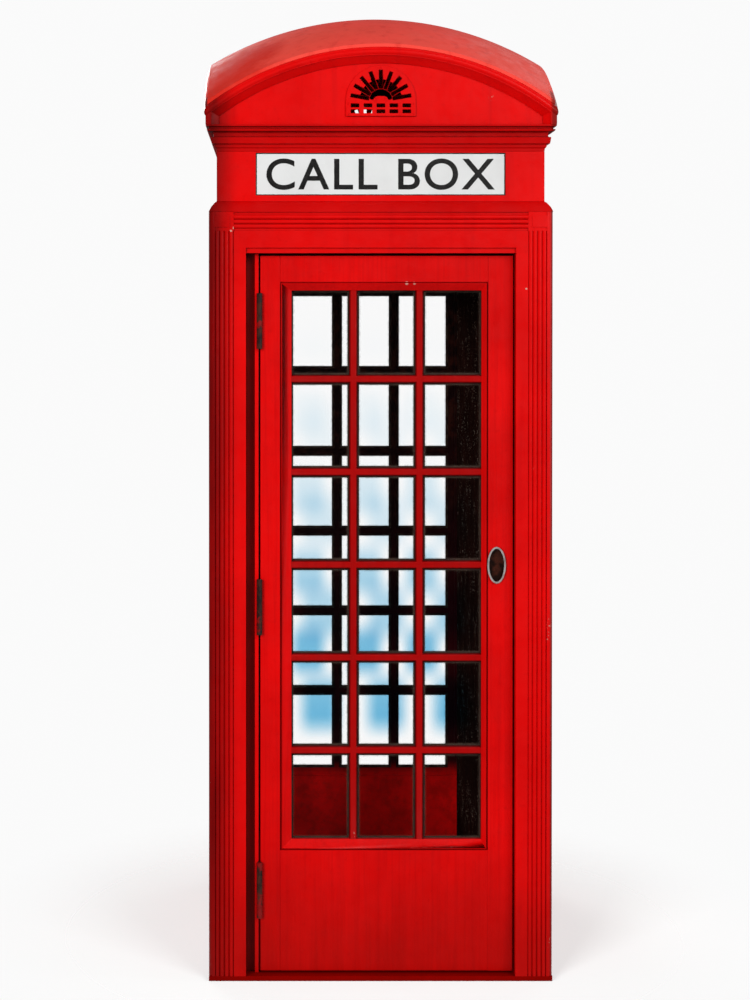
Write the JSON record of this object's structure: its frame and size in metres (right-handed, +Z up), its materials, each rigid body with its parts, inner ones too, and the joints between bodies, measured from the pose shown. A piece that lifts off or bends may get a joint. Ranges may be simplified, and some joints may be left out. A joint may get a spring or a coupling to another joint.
{
  "type": "street telephone box",
  "caption": "Square cast-iron telephone box with a shallow domed roof, small-paned glazed sides and a hinged, glazed timber door.",
  "frame": {"origin": "on the ground, at the middle of the square plan", "axes": "+Z up, the door side faces -Y, +X to the right as seen by someone facing the door"},
  "size_m": [1.01, 1.01, 2.82],
  "materials": {
    "red_paint": "gloss paint over cast iron, chipped and grimed",
    "painted_timber": "gloss paint over upright timber grain",
    "clear_glass": "clear, dusty at the edges",
    "opal_glass": "white opal glass with black lettering",
    "rusty_iron": "dark, rusty",
    "bright_metal": "worn polish",
    "concrete": "trowelled, dirty",
    "cream_paint": "old cream paint",
    "black_board": "black stain, scuffed"
  },
  "bodies": {
    "cabin": {"base_sill": "red_paint", "body_ledge": "red_paint", "ceiling_panel": "cream_paint", "corner_post_back_left": "red_paint", "corner_post_back_right": "red_paint", "corner_post_front_left": "red_paint", "corner_post_front_right": "red_paint", "cornice": "red_paint", "equipment_backboard": "black_board", "fixed_panes": "clear_glass", "floor_slab": "concrete", "frame_hinge_leaves": "rusty_iron", "frieze_back": "red_paint", "frieze_front": "red_paint", "frieze_left": "red_paint", "frieze_right": "red_paint", "glazing_grid_back": "red_paint", "glazing_grid_left": "red_paint", "glazing_grid_right": "red_paint", "head_stop": "red_paint", "hinge_jamb": "red_paint", "lintel_back": "red_paint", "lintel_front": "red_paint", "lintel_left": "red_paint", "lintel_right": "red_paint", "lock_stop": "red_paint", "pediment_back": "red_paint", "pediment_front": "red_paint", "pediment_left": "red_paint", "pediment_right": "red_paint", "roof_dome": "red_paint", "side_frame_back": "red_paint", "side_frame_left": "red_paint", "side_frame_right": "red_paint", "sign_glasses": "opal_glass", "vent_grilles": "red_paint"},
    "door": {"door_stile_hinge": "painted_timber", "door_stile_lock": "painted_timber", "door_top_rail": "painted_timber", "door_bottom_panel": "painted_timber", "door_glazing_grid": "painted_timber", "door_panes": "clear_glass", "door_pull": "bright_metal", "door_hinge_leaves": "rusty_iron"}
  },
  "joints": [
    {"name": "door_hinge", "type": "hinge", "parent": "cabin", "child": "door", "pos_m": [-0.3475, -0.4715, 1.05], "axis": [0, 0, -1], "range_deg": [0, 95]}
  ]
}
